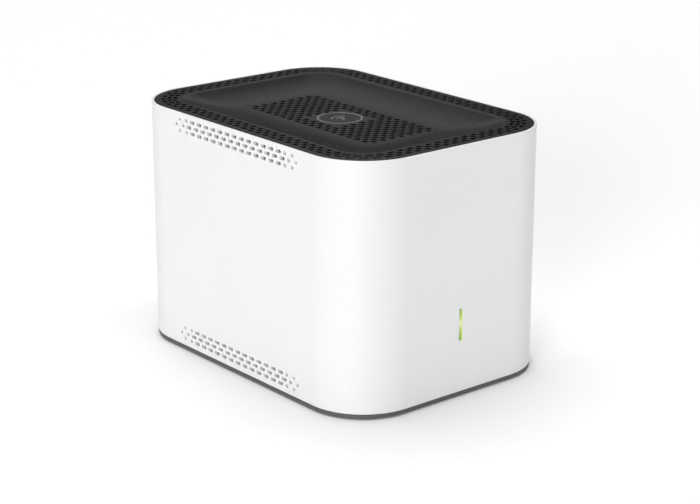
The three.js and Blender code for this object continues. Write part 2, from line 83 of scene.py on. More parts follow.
def makeCamera(view):
    azimuth, elevation, roll = (math.radians(view[k]) for k in ("azimuth", "elevation", "roll"))
    back = Vector((
        math.sin(azimuth) * math.cos(elevation),
        -math.cos(azimuth) * math.cos(elevation),
        math.sin(elevation),
    ))
    level = (-back).cross(Vector((0, 0, 1))).normalized()
    upright = level.cross(-back)
    right = level * math.cos(roll) + upright * math.sin(roll)
    up = upright * math.cos(roll) - level * math.sin(roll)
    camera = bpy.data.objects.new("camera", bpy.data.cameras.new("camera"))
    camera.data.lens = view["lens"]
    camera.data.sensor_width = 36
    camera.data.clip_end = 20
    middle = Vector((0, 0, topZ / 2))
    place = middle + back * view["distance"] + right * view["right"] + up * view["up"]
    camera.matrix_world = Matrix((
        (right.x, up.x, back.x, place.x),
        (right.y, up.y, back.y, place.y),
        (right.z, up.z, back.z, place.z),
        (0, 0, 0, 1),
    ))
    scene.collection.objects.link(camera)
    scene.camera = camera


makeCamera(cameraView)


# A node with its settings, and its inputs linked or given values.
def addNode(tree, kind, inputs=None, **settings):
    node = tree.nodes.new(kind)
    for key, value in settings.items():
        setattr(node, key, value)
    for key, value in (inputs or {}).items():
        if isinstance(value, bpy.types.NodeSocket):
            tree.links.new(value, node.inputs[key])
        else:
            node.inputs[key].default_value = value
    return node


def mathNode(tree, operation, *values):
    return addNode(tree, "ShaderNodeMath", dict(enumerate(values)), operation=operation).outputs[0]


def newMaterial(name):
    material = bpy.data.materials.new(name)
    material.use_nodes = True
    return material, material.node_tree, material.node_tree.nodes["Principled BSDF"]


def grey(level):
    return (level, level, level)


# Colours a shader with a mix of two tones, each a socket or a colour.
def blendTone(tree, share, dark, light):
    mix = addNode(tree, "ShaderNodeMix", {"Factor": share, 6: dark, 7: light}, data_type="RGBA")
    tree.links.new(mix.outputs[2], tree.nodes["Principled BSDF"].inputs["Base Color"])


# Paints a grey over a shader's own colour where the share is 1.
def paintOver(tree, share, level):
    plain = tree.nodes["Principled BSDF"].inputs["Base Color"].links[0].from_socket
    blendTone(tree, share, plain, (*grey(level), 1))


def objectAxes(tree):
    place = addNode(tree, "ShaderNodeTexCoord").outputs["Object"]
    return addNode(tree, "ShaderNodeSeparateXYZ", {"Vector": place}).outputs


def newObject(name, mesh):
    piece = bpy.data.objects.new(name, mesh)
    scene.collection.objects.link(piece)
    return piece


studio = {
    "floorSize": 6,          # metres, half the side
    "floorTone": 0.94,
    "floorMottle": 0.004,
    "worldStrength": 0.05,
    # name: (place, size, power, aim)
    "lights": {
        "topBox": ((0.4, 1.35, 8.0), 9.4, 748.0, (0, 0, 0)),
        "keyBox": ((-5.3, -3.2, 1.4), 2.4, 249.0, (0, 0, 0.06)),
        "fillBox": ((4.4, -2.0, 1.2), 2.0, 47.0, (0, 0, 0.06)),
        "backBox": ((1.29, 1.65, 1.12), 1.0, 0.97, (0, 0, 0.1)),
    },
}


def makeStudio(values):
    world = bpy.data.worlds.new("studioWorld")
    world.use_nodes = True
    backdrop = world.node_tree.nodes["Background"]
    backdrop.inputs["Color"].default_value = (1, 1, 1, 1)
    backdrop.inputs["Strength"].default_value = values["worldStrength"]
    scene.world = world
    scene.view_settings.view_transform = "Standard"
    for name, (place, size, power, aim) in values["lights"].items():
        lamp = bpy.data.lights.new(name, "AREA")
        lamp.shape = "DISK"
        lamp.size = size
        lamp.energy = power
        holder = newObject(name, lamp)
        holder.location = place
        holder.rotation_euler = (Vector(aim) - Vector(place)).to_track_quat("-Z", "Y").to_euler()
    floorMesh = bpy.data.meshes.new("floor")
    work = bmesh.new()
    bmesh.ops.create_grid(work, x_segments=1, y_segments=1, size=values["floorSize"])
    work.to_mesh(floorMesh)
    work.free()
    floor = newObject("floor", floorMesh)
    material, tree, shader = newMaterial("floorPaper")
    shader.inputs["Roughness"].default_value = 0.85
    shader.inputs["Specular IOR Level"].default_value = 0.1
    place = addNode(tree, "ShaderNodeTexCoord").outputs["Object"]
    mottle = addNode(tree, "ShaderNodeTexNoise", {"Vector": place, "Scale": 30.0, "Detail": 2.0})
    tone, spread = values["floorTone"], values["floorMottle"]
    blendTone(tree, mottle.outputs["Fac"], (*grey(tone - spread), 1), (*grey(tone + spread), 1))
    floorMesh.materials.append(material)


makeStudio(studio)
print("camera and studio ready")


# Finishes.

# Fine moulded texture shared by the plastics: a height for the grain and a slow change of tone.
def makeSkinGroup():
    group = bpy.data.node_groups.new("mouldedSkin", "ShaderNodeTree")
    face = group.interface
    for label, value in (("Grain Scale", 900.0), ("Mottle Scale", 25.0), ("Mottle Contrast", 0.5)):
        face.new_socket(label, in_out="INPUT", socket_type="NodeSocketFloat").default_value = value
    for label in ("Grain", "Mottle", "Smudge"):
        face.new_socket(label, in_out="OUTPUT", socket_type="NodeSocketFloat")
    given = addNode(group, "NodeGroupInput").outputs
    place = addNode(group, "ShaderNodeTexCoord").outputs["Object"]
    grain = addNode(group, "ShaderNodeTexNoise", {
        "Vector": place, "Scale": given["Grain Scale"], "Detail": 2.0, "Roughness": 0.55,
    })
    pits = addNode(group, "ShaderNodeTexVoronoi", {"Vector": place, "Scale": given["Grain Scale"]})
    mixed = mathNode(group, "MULTIPLY_ADD", pits.outputs["Distance"], 0.35, grain.outputs["Fac"])
    slow = addNode(group, "ShaderNodeTexNoise", {
        "Vector": place, "Scale": given["Mottle Scale"], "Detail": 3.0, "Roughness": 0.6,
    })
    spread = addNode(group, "ShaderNodeMapRange", {
        "Value": slow.outputs["Fac"], "From Min": 0.3, "From Max": 0.7,
    })
    centred = mathNode(group, "SUBTRACT", spread.outputs["Result"], 0.5)
    toned = mathNode(group, "MULTIPLY_ADD", centred, given["Mottle Contrast"], 0.5)
    smear = addNode(group, "ShaderNodeTexNoise", {
        "Vector": place, "Scale": 60.0, "Detail": 4.0, "Roughness": 0.7, "Distortion": 0.8,
    })
    addNode(group, "NodeGroupOutput", {
        "Grain": mixed, "Mottle": toned, "Smudge": smear.outputs["Fac"],
    })
    return group


skinGroup = makeSkinGroup()


# Moulded plastic, metal or rubber: two close tones, a roughness that wanders, and a fine grain.
def skinMaterial(name, dark, light, rough, grain=0.02, grainScale=900.0, mottleScale=25.0,
                 metallic=0.0, specular=0.5, coat=0.0):
    material, tree, shader = newMaterial(name)
    skin = addNode(tree, "ShaderNodeGroup", node_tree=skinGroup)
    skin.inputs["Grain Scale"].default_value = grainScale
    skin.inputs["Mottle Scale"].default_value = mottleScale
    skin.inputs["Mottle Contrast"].default_value = 0.8
    blendTone(tree, skin.outputs["Mottle"], (*dark, 1), (*light, 1))
    roughness = addNode(tree, "ShaderNodeMapRange", {
        "Value": skin.outputs["Smudge"], "From Min": 0.3, "From Max": 0.7,
        "To Min": rough[0], "To Max": rough[1],
    })
    tree.links.new(roughness.outputs["Result"], shader.inputs["Roughness"])
    bump = addNode(tree, "ShaderNodeBump", {
        "Height": skin.outputs["Grain"], "Strength": grain * 10, "Distance": 0.03 * mm,
    })
    tree.links.new(bump.outputs["Normal"], shader.inputs["Normal"])
    shader.inputs["Metallic"].default_value = metallic
    shader.inputs["Specular IOR Level"].default_value = specular
    shader.inputs["Coat Weight"].default_value = coat
    return material


bodyWhite = {
    "dark": (0.795, 0.798, 0.800),
    "light": (0.812, 0.814, 0.816),
    "rough": (0.38, 0.44),
    "grain": 0.03,
    "grainScale": 1600.0,
}
shellWhite = skinMaterial("shellWhite", **bodyWhite)
# The sleeve's own copy of the white, which carries painted light on the walls of its side vents.
sleeveWhite = skinMaterial("sleeveWhite", **bodyWhite)


# Painted light: the walls of the side vents are painted a little paler than the skin, from just inside the
# lip, standing in for the light that falls into the slots.
def paintVentWallLight(material, values):
    tree = material.node_tree
    axes = objectAxes(tree)
    depth = addNode(tree, "ShaderNodeMapRange", {
        "Value": mathNode(tree, "ABSOLUTE", axes["X"]),
        "From Min": halfX - values["start"], "From Max": halfX - values["end"],
    }).outputs["Result"]
    along = mathNode(tree, "LESS_THAN", mathNode(tree, "ABSOLUTE", axes["Y"]), values["reach"])
    height = mathNode(tree, "ABSOLUTE", mathNode(tree, "SUBTRACT", axes["Z"], topZ / 2))
    inside = mathNode(tree, "LESS_THAN", height, topZ / 2 - values["margin"])
    share = mathNode(tree, "MULTIPLY", depth, mathNode(tree, "MULTIPLY", along, inside))
    paintOver(tree, share, values["tone"])


# Painted light on the sleeve's vent walls: a paler tone than the skin inside the slots.
paintVentWallLight(sleeveWhite, {
    "start": 0.03 * mm,      # depths inside the sleeve's face where the tone begins and is full
    "end": 0.2 * mm,
    "reach": 52 * mm,        # half the length of the rows
    "margin": 1.4 * mm,      # kept clear at the rims
    "tone": 0.9,
})
coverBlack = skinMaterial("coverBlack", grey(0.0065), grey(0.008), (0.25, 0.29),
                          grain=0.05, grainScale=1300.0, specular=0.24)
baseGrey = skinMaterial("baseGrey", grey(0.085), grey(0.1), (0.5, 0.6), grain=0.05,
                        grainScale=1200.0)
bayBlack = skinMaterial("bayBlack", grey(0.018), grey(0.024), (0.42, 0.52), grain=0.04)
emblemGrey = skinMaterial("emblemGrey", grey(0.16), grey(0.2), (0.35, 0.45), grain=0.01)
rubberBlack = skinMaterial("rubberBlack", grey(0.02), grey(0.03), (0.7, 0.85), grain=0.06,
                           grainScale=700.0)
framePlastic = skinMaterial("framePlastic", grey(0.08), grey(0.1), (0.5, 0.6), grain=0.04)
boardMask = skinMaterial("boardMask", (0.012, 0.06, 0.03), (0.018, 0.08, 0.042), (0.3, 0.4),
                         grain=0.01, mottleScale=120.0, coat=0.3)
chipEpoxy = skinMaterial("chipEpoxy", grey(0.02), grey(0.028), (0.4, 0.55), grain=0.05)
softPad = skinMaterial("softPad", grey(0.3), grey(0.36), (0.75, 0.85), grain=0.05)
bareAluminium = skinMaterial("bareAluminium", grey(0.6), grey(0.68), (0.3, 0.42), grain=0.03,
                             metallic=1.0)
platedSteel = skinMaterial("platedSteel", grey(0.56), grey(0.64), (0.22, 0.34), grain=0.02,
                           metallic=1.0)
contactGold = skinMaterial("contactGold", (0.72, 0.47, 0.16), (0.82, 0.57, 0.22), (0.2, 0.3),
                           grain=0.01, metallic=1.0)
wanYellow = skinMaterial("wanYellow", (0.68, 0.44, 0.03), (0.74, 0.5, 0.04), (0.35, 0.45),
                         grain=0.02)
cableBlack = skinMaterial("cableBlack", grey(0.015), grey(0.02), (0.5, 0.6), grain=0.03)
plungerWhite = skinMaterial("plungerWhite", grey(0.74), grey(0.8), (0.35, 0.45), grain=0.01)
buttonGrey = skinMaterial("buttonGrey", grey(0.055), grey(0.068), (0.4, 0.5), grain=0.03)
lampWindow = skinMaterial("lampWindow", (0.3, 0.34, 0.26), (0.36, 0.4, 0.3), (0.15, 0.25),
                          grain=0.01, coat=0.5)


# Blank label film with a thin printed frame.
labelPrint = {"frameReach": (24 * mm, 13 * mm), "frameLine": 0.15 * mm, "ink": 0.12}


def printedMaterial(values):
    material = skinMaterial("printedFilm", grey(0.76), grey(0.8), (0.35, 0.45), grain=0.01)
    tree = material.node_tree
    axes = objectAxes(tree)
    over = [mathNode(tree, "SUBTRACT", mathNode(tree, "ABSOLUTE", axes[axis]), reach)
            for axis, reach in zip("XY", values["frameReach"])]
    edge = mathNode(tree, "ABSOLUTE", mathNode(tree, "MAXIMUM", *over))
    paintOver(tree, mathNode(tree, "LESS_THAN", edge, values["frameLine"]), values["ink"])
    return material


printedFilm = printedMaterial(labelPrint)


# The light bar glows from green ends to a pale yellow-green middle, a little above half way.
lightValues = {"hotSpot": 0.54, "spread": 0.56, "strength": 0.75, "margin": 2.15 * mm}


def glowMaterial(values):
    material, tree, shader = newMaterial("litAcrylic")
    low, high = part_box("light_guide")
    share = addNode(tree, "ShaderNodeMapRange", {
        "Value": objectAxes(tree)["Z"], "From Min": low.z + values["margin"],
        "From Max": high.z - values["margin"],
    }).outputs["Result"]
    away = mathNode(tree, "ABSOLUTE", mathNode(tree, "SUBTRACT", share, values["hotSpot"]))
    fall = mathNode(tree, "DIVIDE", away, values["spread"])
    ramp = addNode(tree, "ShaderNodeValToRGB", {"Fac": fall})
    stops = ramp.color_ramp.elements
    stops[0].color = (1.0, 1.0, 0.46, 1)
    stops[1].position = 0.85
    stops[1].color = (0.22, 0.52, 0.01, 1)
    middle = stops.new(0.35)
    middle.color = (0.50, 0.72, 0.08, 1)
    tree.links.new(ramp.outputs["Color"], shader.inputs["Emission Color"])
    shader.inputs["Base Color"].default_value = (0.05, 0.09, 0.01, 1)
    shader.inputs["Emission Strength"].default_value = values["strength"]
    shader.inputs["Roughness"].default_value = 0.25
    shader.inputs["Specular IOR Level"].default_value = 0.25
    return material


litAcrylic = glowMaterial(lightValues)
print("finishes ready")


# Mesh helpers.

def roundedBox(width, height, radius, centre=(0, 0), arcSteps=8):
    points = []
    for corner, (sx, sy) in enumerate(((1, 1), (-1, 1), (-1, -1), (1, -1))):
        for step in range(arcSteps + 1):
            angle = (corner + step / arcSteps) * math.pi / 2
            points.append((
                centre[0] + sx * (width / 2 - radius) + radius * math.cos(angle),
                centre[1] + sy * (height / 2 - radius) + radius * math.sin(angle),
            ))
    return points


# Points round the body's plan, moved in by an inset.
def bodyOutline(inset, radius=None, arcSteps=bodyShape["arcSteps"]):
    radius = bodyShape["cornerRadius"] - inset if radius is None else radius
    return roundedBox(2 * (halfX - inset), 2 * (halfY - inset), radius, arcSteps=arcSteps)


# The body's plan at each (inset, height) of a profile.
def planRings(profile):
    return [[(x, y, z) for x, y in bodyOutline(inset)] for inset, z in profile]


def circle(radius, centre=(0, 0), steps=48):
    turns = (2 * math.pi * i / steps for i in range(steps))
    return [(centre[0] + radius * math.cos(t), centre[1] + radius * math.sin(t)) for t in turns]


# A profile of (u, v, radius) points with its corners rounded.
def roundProfile(points, closed, steps=4):
    rounded = []
    last = len(points) - 1
    for i, (u, v, radius) in enumerate(points):
        here = Vector((u, v))
        if radius == 0 or (not closed and i in (0, last)):
            rounded.append((u, v))
            continue
        back = (Vector(points[i - 1][:2]) - here).normalized()
        ahead = (Vector(points[(i + 1) % len(points)][:2]) - here).normalized()
        half = back.angle(ahead) / 2
        centre = here + (back + ahead).normalized() * (radius / math.sin(half))
        start = here + back * (radius / math.tan(half)) - centre
        end = here + ahead * (radius / math.tan(half)) - centre
        for step in range(steps + 1):
            turned = start.lerp(end, step / steps).normalized() * radius
            rounded.append(tuple(centre + turned))
    return rounded


# Skins a row of outlines, each a list of 3-D points, into one closed shape.
def skinLoops(work, outlines, closed=False):
    loops = [[work.verts.new(p) for p in outline] for outline in outlines]
    pairs = list(zip(loops, loops[1:]))
    if closed:
        pairs.append((loops[-1], loops[0]))
    count = len(loops[0])
    for lower, upper in pairs:
        for i in range(count):
            j = (i + 1) % count
            work.faces.new((lower[i], lower[j], upper[j], upper[i]))
    if not closed:
        work.faces.new(list(reversed(loops[0])))
        work.faces.new(loops[-1])


def meshFrom(name, build):
    work = bmesh.new()
    build(work)
    bmesh.ops.remove_doubles(work, verts=work.verts, dist=1e-7)
    bmesh.ops.recalc_face_normals(work, faces=work.faces)
    mesh = bpy.data.meshes.new(name)
    work.to_mesh(mesh)
    work.free()
    return mesh


# A bar along Z, or along Y when upright, from rings of (outline, place along the bar).
def bar(work, rings, upright=False):
    if upright:
        skinLoops(work, [[(x, along, z) for x, z in outline] for outline, along in rings])
    else:
        skinLoops(work, [[(x, y, along) for x, y in outline] for outline, along in rings])


def prism(work, outline, start, end, upright=False):
    bar(work, ((outline, start), (outline, end)), upright)


def solidPiece(name, build):
    return newObject(name, meshFrom(name, build))


def bake(piece):
    view = bpy.context.evaluated_depsgraph_get()
    mesh = bpy.data.meshes.new_from_object(
        piece.evaluated_get(view), preserve_all_data_layers=True, depsgraph=view)
    piece.modifiers.clear()
    piece.data = mesh


# Smooth shading that keeps large faces flat and edges crisp.
def shadeCleanly(piece, sharpAngle):
    piece.data.shade_smooth()
    piece.data.set_sharp_from_angle(angle=math.radians(sharpAngle))
    weigh = piece.modifiers.new("weigh", "WEIGHTED_NORMAL")
    weigh.keep_sharp = True
    weigh.weight = 100
    bake(piece)


# Shades a finished piece, sets its material and its body, and hides the node it stands for.
def showAs(piece, material, node, body="housing", sharpAngle=32):
    shadeCleanly(piece, sharpAngle)
    piece.data.materials.clear()
    piece.data.materials.append(material)
    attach(piece, body)
    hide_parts(node)


# Vents: points carry each slot's length and direction, and one tree cuts a slot at each.

def makeSlotPoints(name, slots, out):
    mesh = bpy.data.meshes.new(name)
    mesh.from_pydata([place for place, along, length in slots], [], [])
    lengths = mesh.attributes.new("slotLength", "FLOAT", "POINT")
    lengths.data.foreach_set("value", [length for place, along, length in slots])
    for label, directions in (
        ("slotAlong", [along for place, along, length in slots]),
        ("slotOut", [out(place) for place, along, length in slots]),
    ):
        field = mesh.attributes.new(label, "FLOAT_VECTOR", "POINT")
        field.data.foreach_set("vector", [c for direction in directions for c in direction])
    return newObject(name, mesh)


# A geometry tree that takes a shape, some objects and numbers, and a finish.
def startTree(name, objects, numbers=()):
    tree = bpy.data.node_groups.new(name, "GeometryNodeTree")
    sockets = [("Geometry", "Geometry")]
    sockets += [(label, "Object") for label in objects] + [(label, "Float") for label in numbers]
    for label, kind in (*sockets, ("Finish", "Material")):
        tree.interface.new_socket(label, in_out="INPUT", socket_type=f"NodeSocket{kind}")
    tree.interface.new_socket("Geometry", in_out="OUTPUT", socket_type="NodeSocketGeometry")
    return tree, addNode(tree, "NodeGroupInput").outputs


# The first output of a new node.
def made(tree, kind, inputs=None, **settings):
    return addNode(tree, kind, inputs, **settings).outputs[0]


def shapeOf(tree, other):
    return addNode(tree, "GeometryNodeObjectInfo", {"Object": other}).outputs["Geometry"]


def endTree(tree, shape, finish):
    real = made(tree, "GeometryNodeRealizeInstances", {"Geometry": shape})
    finished = made(tree, "GeometryNodeSetMaterial", {"Geometry": real, "Material": finish})
    addNode(tree, "NodeGroupOutput", {"Geometry": finished})
    return tree


def makeVentTree():
    tree, given = startTree("cutVents", ("Slots", "Other Cuts"), ("Slot Width", "Flare", "Depth"))
    sides = 16
    proud = 0.4 * mm

    # one slot end to end is a drum of three rings: deep, at the flare's foot, and proud of the face
    drum = made(tree, "GeometryNodeMeshCylinder", {
        "Vertices": sides, "Side Segments": 2, "Radius": 1.0, "Depth": 2.0,
    }, fill_type="NGON")
    turned = made(tree, "GeometryNodeTransform", {
        "Geometry": drum, "Rotation": (0, 0, math.pi / sides),
    })
    position = made(tree, "GeometryNodeInputPosition")
    x, y, z = addNode(tree, "ShaderNodeSeparateXYZ", {"Vector": position}).outputs
    above = mathNode(tree, "MAXIMUM", z, 0.0)
    below = mathNode(tree, "MINIMUM", z, 0.0)
    rise = mathNode(tree, "ADD", given["Flare"], proud)
    barrel = mathNode(tree, "MULTIPLY", given["Slot Width"], 0.5 / math.cos(math.pi / sides))
    radius = mathNode(tree, "MULTIPLY_ADD", above, rise, barrel)
    drop = mathNode(tree, "SUBTRACT", given["Depth"], given["Flare"])
    foot = mathNode(tree, "MULTIPLY", given["Flare"], -1.0)
    high = mathNode(tree, "MULTIPLY_ADD", above, rise, foot)
    shaped = made(tree, "ShaderNodeCombineXYZ", {
        "X": mathNode(tree, "MULTIPLY", x, radius), "Y": mathNode(tree, "MULTIPLY", y, radius),
        "Z": mathNode(tree, "MULTIPLY_ADD", below, drop, high),
    })
    cutter = made(tree, "GeometryNodeSetPosition", {"Geometry": turned, "Position": shaped})
    marked = made(tree, "GeometryNodeStoreNamedAttribute", {
        "Geometry": cutter, "Name": "slotSide", "Value": mathNode(tree, "SIGN", x),
    }, data_type="FLOAT", domain="POINT")

    def named(label, kind):
        return made(tree, "GeometryNodeInputNamedAttribute", {"Name": label}, data_type=kind)

    facing = made(tree, "FunctionNodeAxesToRotation", {
        "Primary Axis": named("slotOut", "FLOAT_VECTOR"),
        "Secondary Axis": named("slotAlong", "FLOAT_VECTOR"),
    }, primary_axis="Z", secondary_axis="X")
    copies = made(tree, "GeometryNodeInstanceOnPoints", {
        "Points": shapeOf(tree, given["Slots"]), "Instance": marked, "Rotation": facing,
    })
    solid = made(tree, "GeometryNodeRealizeInstances", {"Geometry": copies})
    straight = mathNode(tree, "SUBTRACT", named("slotLength", "FLOAT"), given["Slot Width"])
    half = mathNode(tree, "MULTIPLY", straight, 0.5)
    offset = made(tree, "ShaderNodeVectorMath", {
        0: named("slotAlong", "FLOAT_VECTOR"),
        "Scale": mathNode(tree, "MULTIPLY", half, named("slotSide", "FLOAT")),
    }, operation="SCALE")
    stretched = made(tree, "GeometryNodeSetPosition", {"Geometry": solid, "Offset": offset})
    tools = addNode(tree, "GeometryNodeJoinGeometry")
    tree.links.new(stretched, tools.inputs[0])
    tree.links.new(shapeOf(tree, given["Other Cuts"]), tools.inputs[0])
    cut = made(tree, "GeometryNodeMeshBoolean", {
        "Mesh 1": given["Geometry"], "Mesh 2": tools.outputs[0],
    }, operation="DIFFERENCE", solver="MANIFOLD")
    return endTree(tree, cut, given["Finish"])


ventTree = makeVentTree()


def runTree(piece, tree, values):
    modifier = piece.modifiers.new(tree.name, "NODES")
    modifier.node_group = tree
    for item in tree.interface.items_tree:
        if item.in_out == "INPUT" and item.name in values:
            modifier[item.identifier] = values[item.name]
    bake(piece)


def cutVents(piece, slots, others, finish, depth, width):
    runTree(piece, ventTree, {
        "Slots": slots, "Other Cuts": others, "Slot Width": width,
        "Flare": bodyShape["ventFlare"], "Depth": depth, "Finish": finish,
    })
    for used in (slots, others):
        if used:
            bpy.data.objects.remove(used)


# Carving welds extra parts to a piece and takes shapes out of it; scattering repeats a part.

def makeCarveTree():
    tree, given = startTree("carve", ("Added", "Cuts"))
    weld = addNode(tree, "GeometryNodeMeshBoolean", operation="UNION", solver="MANIFOLD")
    tree.links.new(given["Geometry"], weld.inputs["Mesh 2"])
    tree.links.new(shapeOf(tree, given["Added"]), weld.inputs["Mesh 2"])
    carved = made(tree, "GeometryNodeMeshBoolean", {
        "Mesh 1": weld.outputs[0], "Mesh 2": shapeOf(tree, given["Cuts"]),
    }, operation="DIFFERENCE", solver="MANIFOLD")
    return endTree(tree, carved, given["Finish"])


def makeScatterTree():
    tree, given = startTree("scatter", ("Part",))
    part = addNode(tree, "GeometryNodeObjectInfo", {"Object": given["Part"], "As Instance": True})
    copies = made(tree, "GeometryNodeInstanceOnPoints", {
        "Points": given["Geometry"], "Instance": part.outputs["Geometry"],
    })
    return endTree(tree, copies, given["Finish"])


carveTree = makeCarveTree()
scatterTree = makeScatterTree()


# A new piece: shape, with the added parts welded on and the cuts taken out.
def carve(name, shape, added, cuts, finish):
    piece = newObject(name, meshFrom(name, shape))
    tools = []
    for label, build in (("Added", added), ("Cuts", cuts)):
        mesh = meshFrom(name + label, build) if build else bpy.data.meshes.new(name + label)
        tools.append(newObject(name + label, mesh))
    runTree(piece, carveTree, {"Added": tools[0], "Cuts": tools[1], "Finish": finish})
    for tool in tools:
        bpy.data.objects.remove(tool)
    return piece


# A new piece: one copy of the part at each spot.
def scatter(name, part, spots, finish):
    mesh = bpy.data.meshes.new(name)
    mesh.from_pydata(spots, [], [])
    piece = newObject(name, mesh)
    runTree(piece, scatterTree, {"Part": part, "Finish": finish})
    return piece


# (place, length) of the slots in one row; with fading ends the last two slots shrink to a dot.
def slotRow(count, fading):
    pitch, full = bodyShape["ventPitch"], bodyShape["ventLength"]
    dot, short = 2.0 * mm, 2.4 * mm
    row = []
    for i in range(count):
        k = i - (count - 1) / 2
        fromEnd = (count - 1) / 2 - abs(k)
        length = full
        if fading and fromEnd < 1.5:
            length = dot if fromEnd < 0.5 else short
        place = math.copysign(abs(k) * pitch - (full - length) / 2, k)
        row.append((place, length))
    return row


# Sleeve.

sleeveVents = {"topRow": topZ - 3.2 * mm, "bottomRow": 6.1 * mm, "counts": (17, 18, 17)}


def sideSlots(values):
    slots = []
    for side in (-1, 1):
        for band in (1, -1):
            first = values["topRow"] if band == 1 else values["bottomRow"]
            for row, count in enumerate(values["counts"]):
                z = first - band * row * bodyShape["ventRowPitch"]
                for y, length in slotRow(count, True):
                    slots.append(((side * halfX, y, z), (0, 1, 0), length))
    return slots


bay = {
    "halfWidth": 45.5 * mm,
    "bottom": 12.0 * mm,
    "top": 48.0 * mm,
    "corner": 3.2 * mm,
    "wall": 1.6 * mm,
    "face": 79.0 * mm,
    "reveal": 0.12 * mm,     # gap between the sleeve and the bay
}
barLow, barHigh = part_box("light_guide")
lightBar = {
    "width": 1.7 * mm,
    "height": 15.7 * mm,
    "middle": (barLow.z + barHigh.z) / 2,
    "reveal": 0.04 * mm,
}


# The light bar seen from the front, grown outwards.
def lightOutline(grow):
    width, height = lightBar["width"], lightBar["height"]
    return roundedBox(width + 2 * grow, height + 2 * grow, width / 2 + grow - 1e-6,
                      (0, lightBar["middle"]))


def sleeveOtherCuts(work):
    width = 2 * (bay["halfWidth"] + bay["reveal"])
    height = bay["top"] - bay["bottom"] + 2 * bay["reveal"]
    centre = (0, (bay["top"] + bay["bottom"]) / 2)
    window = roundedBox(width, height, bay["corner"], centre)
    prism(work, window, flatY, halfY + 5 * mm, upright=True)
    prism(work, lightOutline(lightBar["reveal"]), -halfY - 1 * mm, -halfY + 4 * mm, upright=True)


def makeSleeve():
    ledge = topZ - 1.9 * mm
    profile = roundProfile([
        (0, sleeveZ, 0.25 * mm), (0, topZ, 0.35 * mm), (bodyShape["rim"], topZ, 0.3 * mm),
        (bodyShape["rim"], ledge, 0), (bodyShape["wall"], ledge, 0.1 * mm),
        (bodyShape["wall"], sleeveZ, 0.2 * mm),
    ], closed=True)
    rings = planRings(profile)
    sleeve = solidPiece("sleeve_shell", lambda work: skinLoops(work, rings, closed=True))
    others = solidPiece("sleeveCuts", sleeveOtherCuts)
    slots = makeSlotPoints("sleeveSlots", sideSlots(sleeveVents),
                           lambda place: (math.copysign(1, place[0]), 0, 0))
    cutVents(sleeve, slots, others, sleeveWhite, 4 * mm, bodyShape["ventWidth"])
    showAs(sleeve, sleeveWhite, "sleeve")


makeSleeve()
print("sleeve ready")


# Top cover.

cover = {
    "inset": 1.45 * mm,
    "thickness": 1.6 * mm,
    # inset, slots on a long side, on a short side and in a corner
    "borderRows": ((5.7 * mm, 21, 13, 6), (8.5 * mm, 20, 12, 7), (11.2 * mm, 21, 13, 5)),
    "ridge": 15.0 * mm,
    "ridgeSoftness": 1.2 * mm,
    "floorInset": 40.2 * mm,
    "floorCorner": 6.0 * mm,
    "dish": 4.3 * mm,
    "curve": 2.1,
    "columns": 7,
    "columnPitch": 2.77 * mm,
    "longColumn": 17,
    "clearHalf": 13.0 * mm,
}


# How far down the dish's slope an inset lies, from 0 at the ridge to 1 on the floor.
def slopeShare(inset):
    share = (inset - cover["ridge"]) / (cover["floorInset"] - cover["ridge"])
    return max(0, min(share, 1))


# Drop of the dish below the border, and its plan radius, at an inset from the body's surface.
def dishDrop(inset):
    return cover["dish"] * (1 - (1 - slopeShare(inset)) ** cover["curve"])


def dishRadius(inset):
    share = slopeShare(inset)
    if share == 0:
        return bodyShape["cornerRadius"] - inset
    atRidge = bodyShape["cornerRadius"] - cover["ridge"]
    return atRidge + (cover["floorCorner"] - atRidge) * share


def coverRings():
    edge, ridge, soft = cover["inset"], cover["ridge"], cover["ridgeSoftness"]
    ridgeSteps, slopeSteps = 6, 16
    slope = cover["floorInset"] - ridge - soft
    insets = [ridge - soft + soft * 2 * i / ridgeSteps for i in range(ridgeSteps + 1)]
    insets += [ridge + soft + slope * i / slopeSteps for i in range(1, slopeSteps + 1)]
    steepness = dishDrop(ridge + soft)
    rings = []
    for inset in insets:
        drop = dishDrop(inset)
        if abs(inset - ridge) < soft:
            drop = steepness * ((inset - ridge + soft) / (2 * soft)) ** 2
        rings.append((inset, -drop))
    fillet = roundProfile([
        (edge + 2 * mm, -cover["thickness"], 0), (edge, -cover["thickness"], 0.15 * mm),
        (edge, 0, 0.3 * mm), (edge + 2 * mm, 0, 0),
    ], closed=False)
    lower = [(inset, z - cover["thickness"]) for inset, z in reversed(rings)]
    return lower + fillet + rings


# Slots along the border: straight runs on the four sides, and a fan round each corner.
def borderSlots():
    pitch, full = bodyShape["ventPitch"], bodyShape["ventLength"]
    slots = []
    for inset, longCount, shortCount, cornerCount in cover["borderRows"]:
        for side in (-1, 1):
            for y, length in slotRow(longCount, False):
                slots.append(((side * (halfX - inset), y, topZ), (0, 1, 0), length))
            for x, length in slotRow(shortCount, False):
                slots.append(((x, side * (halfY - inset), topZ), (1, 0, 0), length))
        radius = bodyShape["cornerRadius"] - inset
        before = flatY - (longCount - 1) / 2 * pitch      # straight left over past the last slot
        after = flatX - (shortCount - 1) / 2 * pitch
        start = (pitch - before) / radius
        end = math.pi / 2 - (pitch - after) / radius
        for sx in (-1, 1):
            for sy in (-1, 1):
                for i in range(cornerCount):
                    angle = start + (end - start) * i / (cornerCount - 1)
                    place = (
                        sx * (flatX + radius * math.cos(angle)),
                        sy * (flatY + radius * math.sin(angle)),
                        topZ,
                    )
                    along = (-sx * math.sin(angle), sy * math.cos(angle), 0)
                    slots.append((place, along, full))
    return slots


def floorSlots():
    slots = []
    for column in range(-cover["columns"], cover["columns"] + 1):
        x = column * cover["columnPitch"]
        count = cover["longColumn"] - abs(column) % 2
        for y, length in slotRow(count, False):
            if max(abs(x), abs(y)) > cover["clearHalf"]:
                slots.append(((x, y, topZ - cover["dish"]), (0, 1, 0), length))
    return slots


